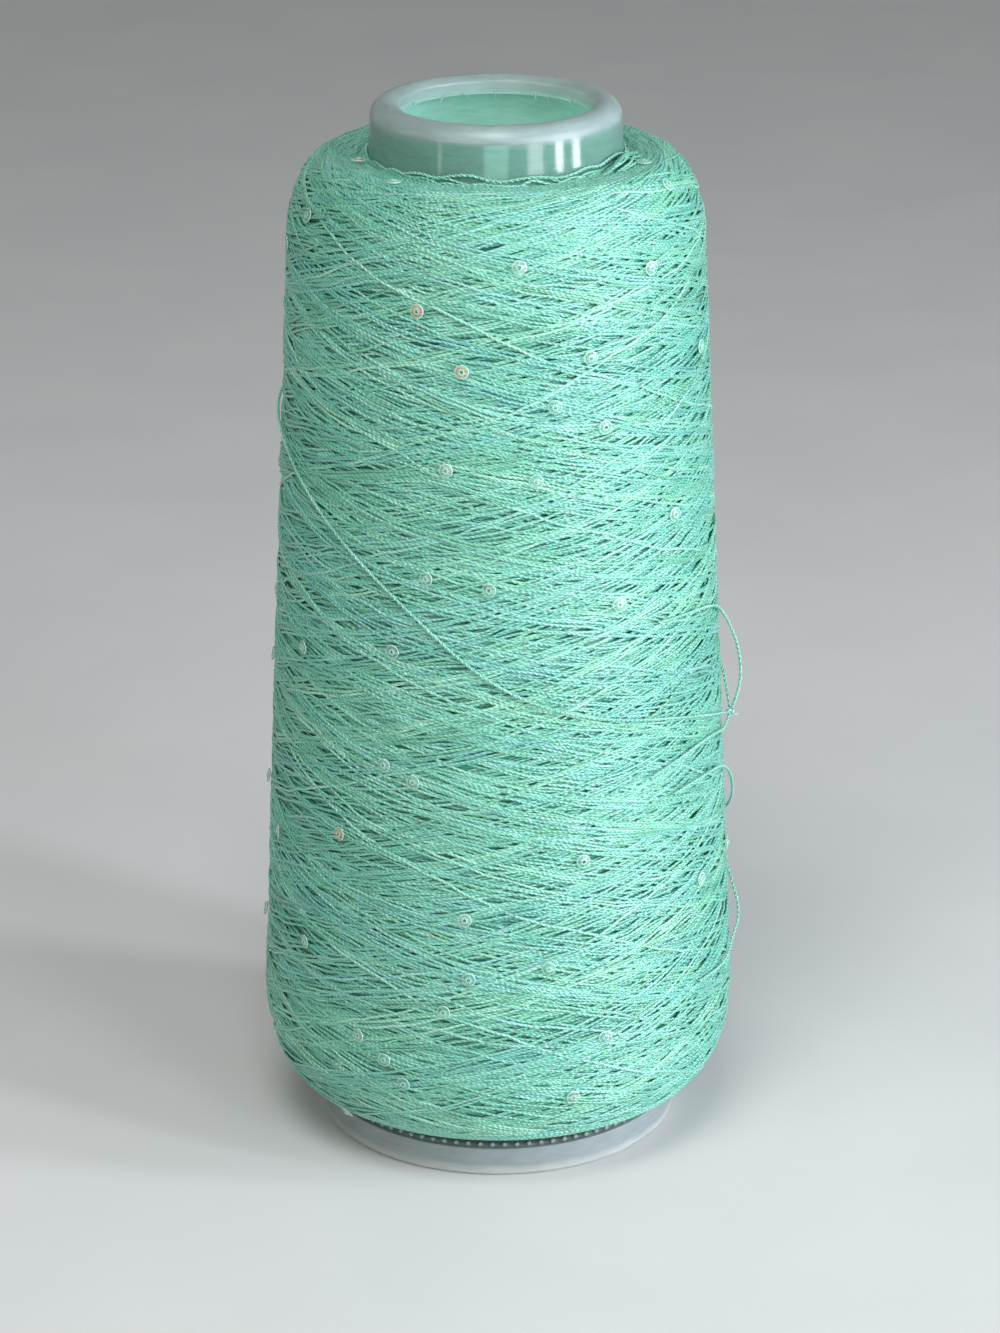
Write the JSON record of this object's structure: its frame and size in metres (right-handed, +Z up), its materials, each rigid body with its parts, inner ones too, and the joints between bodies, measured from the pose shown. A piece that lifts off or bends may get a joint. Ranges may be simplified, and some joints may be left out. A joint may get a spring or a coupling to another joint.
{
  "type": "yarn cone",
  "caption": "Tall cone of sequin yarn: a cross-wound yarn package on a frosted hollow plastic core, with a knotted loose end and small clear sequins. It lifts off a spindle.",
  "frame": {"origin": "centre of the core's base, on the surface that the cone stands on", "axes": "+Z up the core's axis from base to nose, +X to the right seen from the front, -Y towards the front"},
  "size_m": [0.106, 0.1044, 0.23],
  "materials": {
    "core_plastic": "frosted translucent polypropylene, faintly green from the yarn behind it",
    "yarn": "mint-turquoise plied yarn with a fine metallic filament, soft sheen",
    "sequin_film": "clear iridescent film"
  },
  "bodies": {
    "root": {"core_cone": "core_plastic", "yarn_package": "yarn", "loose_end": "yarn", "tied_loop": "yarn", "knot_leg_upper": "yarn", "knot_leg_lower": "yarn", "end_knot": "yarn", "side_loop_mid": "yarn", "side_loop_low": "yarn", "nose_strand": "yarn", "sequins": "sequin_film"}
  },
  "joints": []
}
